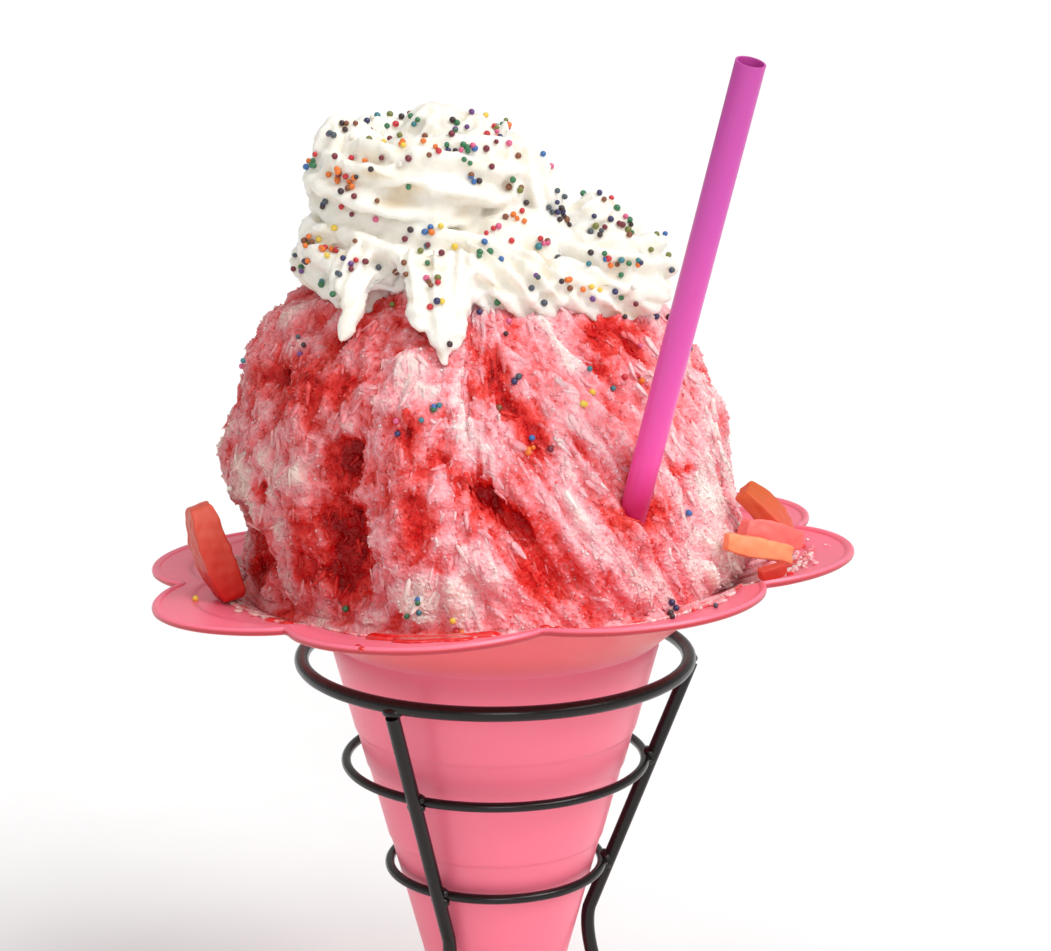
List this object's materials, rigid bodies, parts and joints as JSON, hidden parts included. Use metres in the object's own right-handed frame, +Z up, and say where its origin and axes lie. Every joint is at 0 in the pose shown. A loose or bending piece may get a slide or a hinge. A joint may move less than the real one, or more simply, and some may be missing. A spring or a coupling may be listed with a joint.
{
  "type": "shaved ice dessert",
  "caption": "Shaved ice with red syrup and whipped cream in a petal-rimmed plastic cup, with a straw, standing in a black wire holder.",
  "frame": {"origin": "centre of the holder's base ring, on the surface it stands on", "axes": "+Z up, -Y towards the side with the straw, +X to the right as seen from that side"},
  "size_m": [0.1444, 0.1448, 0.2309],
  "materials": {
    "wire": "gloss black coating",
    "cup_plastic": "satin",
    "ice": "rough wet flakes",
    "cream": "soft satin",
    "straw_plastic": "satin",
    "jelly": "wet gloss"
  },
  "bodies": {
    "root": {"base_ring": "wire", "leg_1": "wire", "leg_2": "wire", "leg_3": "wire", "ring_low": "wire", "ring_mid": "wire", "ring_top": "wire", "cup": "cup_plastic", "shaved_ice": "ice", "whipped_cream": "cream", "straw": "straw_plastic", "jelly_left": "jelly", "jelly_right": "jelly"}
  },
  "joints": []
}
